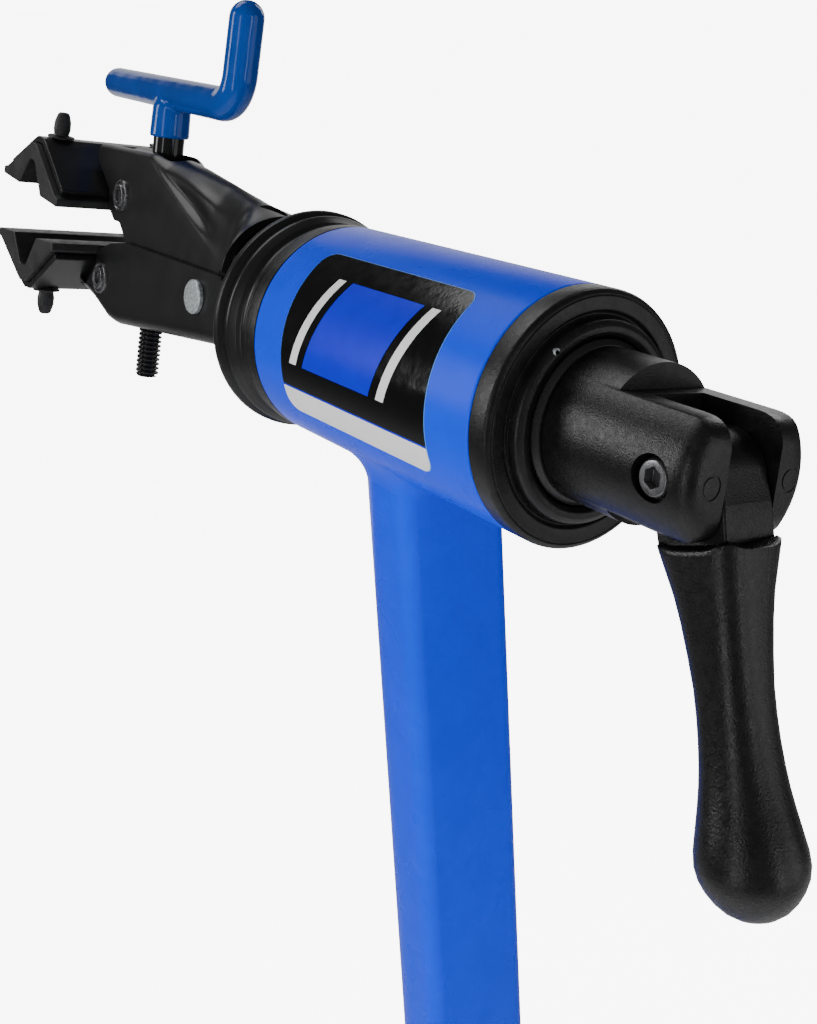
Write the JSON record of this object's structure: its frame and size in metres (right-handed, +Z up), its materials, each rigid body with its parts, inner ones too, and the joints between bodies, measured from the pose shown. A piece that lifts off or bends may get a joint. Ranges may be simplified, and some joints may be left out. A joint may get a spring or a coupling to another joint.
{
  "type": "bicycle repair stand",
  "caption": "Folding work stand that clamps a bicycle's tube between screw-closed padded jaws on a turning head, on a telescopic post with spread legs.",
  "frame": {"origin": "on the floor, below the middle of the post's section", "axes": "+Z up along the post; the jaws point to -X and the cam lever to +X, along the head's barrel"},
  "size_m": [0.841, 0.9936, 1.3381],
  "materials": {
    "blue_paint": "powder coat with a slight orange peel",
    "blue_vinyl": "dipped vinyl, glossy",
    "black_paint": "satin black",
    "black_plastic": "fine texture",
    "black_rubber": "matte",
    "zinc": "zinc plated",
    "steel": "turned",
    "bronze": "sintered bronze",
    "label": "glossy printed sticker"
  },
  "bodies": {
    "base": {"lower_post": "blue_paint", "base_plug": "black_plastic", "height_collar": "black_plastic", "collar_bolt": "zinc", "collar_pin": "zinc", "collar_nut": "zinc", "base_hub": "black_paint", "left_leg_bolt": "zinc", "left_leg_knob": "black_plastic", "right_leg_bolt": "zinc", "right_leg_knob": "black_plastic", "rear_leg_bolt": "zinc", "rear_leg_knob": "black_plastic"},
    "left_leg_body": {"left_leg": "blue_paint", "left_foot": "black_rubber"},
    "right_leg_body": {"right_leg": "blue_paint", "right_foot": "black_rubber"},
    "rear_leg_body": {"rear_leg": "blue_paint", "rear_foot": "black_rubber"},
    "collar_lever_body": {"collar_lever": "black_plastic"},
    "head": {"barrel_tube": "blue_paint", "upper_post": "blue_paint", "post_glide": "black_plastic", "front_cap": "black_plastic", "rear_cap": "black_plastic", "front_bush": "bronze", "rear_bush": "bronze", "thrust_washer": "steel", "side_label": "label"},
    "clamp": {"clamp_shaft": "steel", "clamp_flange": "black_paint", "upper_arm": "black_paint", "upper_jaw": "black_paint", "upper_cover": "black_rubber", "upper_jaw_bolt": "black_paint", "upper_jaw_nut": "black_paint", "arm_rivet": "zinc", "cam_yoke": "black_plastic", "lever_screw": "zinc", "lever_nut": "zinc"},
    "thrust_pad_body": {"thrust_pad": "steel"},
    "lever": {"cam_lever": "black_paint", "lever_grip": "black_plastic"},
    "swivel": {"screw_swivel": "steel"},
    "crank": {"crank_screw": "black_paint", "crank_handle": "blue_vinyl"},
    "lower_jaw_body": {"lower_arm": "black_paint", "lower_jaw": "black_paint", "lower_cover": "black_rubber", "lower_jaw_bolt": "black_paint", "lower_jaw_nut": "black_paint"},
    "nut": {"trunnion_nut": "steel"}
  },
  "joints": [
    {"name": "height_slide", "type": "slide", "parent": "base", "child": "head", "axis": [0, 0, 1], "range_m": [-0.23, 0.23]},
    {"name": "collar_lever_turn", "type": "hinge", "parent": "base", "child": "collar_lever_body", "pos_m": [0.037, -0.021, 0.748], "axis": [0, 0, 1], "range_deg": [0, 150]},
    {"name": "left_leg_fold", "type": "hinge", "parent": "base", "child": "left_leg_body", "pos_m": [-0.03857, 0.04596, 0.15], "axis": [0.766, 0.6428, 0], "range_deg": [0, 100]},
    {"name": "right_leg_fold", "type": "hinge", "parent": "base", "child": "right_leg_body", "pos_m": [-0.03857, -0.04596, 0.15], "axis": [-0.766, 0.6428, 0], "range_deg": [0, 100]},
    {"name": "rear_leg_fold", "type": "hinge", "parent": "base", "child": "rear_leg_body", "pos_m": [0.06, 0, 0.15], "axis": [0, -1, 0], "range_deg": [0, 100]},
    {"name": "clamp_spin", "type": "hinge", "parent": "head", "child": "clamp", "pos_m": [0.0153, 0, 1.22], "axis": [1, 0, 0], "continuous": true},
    {"name": "cam_lever_turn", "type": "hinge", "parent": "clamp", "child": "lever", "pos_m": [0.1263, -0.00043, 1.21805], "axis": [0, -0.9763, 0.2164], "range_deg": [0, 95]},
    {"name": "thrust_pad_slide", "type": "slide", "parent": "clamp", "child": "thrust_pad_body", "axis": [1, 0, 0], "range_m": [0, 0.0013]},
    {"name": "screw_tilt", "type": "hinge", "parent": "clamp", "child": "swivel", "pos_m": [-0.2037, 0.00801, 1.25612], "axis": [0, 0.9763, -0.2164], "range_deg": [-4.4, 2.5]},
    {"name": "crank_spin", "type": "hinge", "parent": "swivel", "child": "crank", "pos_m": [-0.2037, 0.00801, 1.25612], "axis": [0, -0.2164, -0.9763], "range_deg": [-3120, 1780]},
    {"name": "jaw_pivot", "type": "hinge", "parent": "clamp", "child": "lower_jaw_body", "pos_m": [-0.1317, -0.00076, 1.21658], "axis": [0, 0.9763, -0.2164], "range_deg": [-14.8, 8.5]},
    {"name": "nut_swivel", "type": "hinge", "parent": "lower_jaw_body", "child": "nut", "pos_m": [-0.2037, -0.00377, 1.20301], "axis": [0, 0.9763, -0.2164], "range_deg": [-6.1, 10.6]}
  ],
  "couplings": [
    {"joint": "thrust_pad_slide", "follows": "cam_lever_turn", "m_per_rad": 0.00072},
    {"joint": "screw_tilt", "follows": "crank_spin", "ratio": 0.001363},
    {"joint": "jaw_pivot", "follows": "crank_spin", "ratio": 0.0047},
    {"joint": "nut_swivel", "follows": "crank_spin", "ratio": -0.003337}
  ]
}
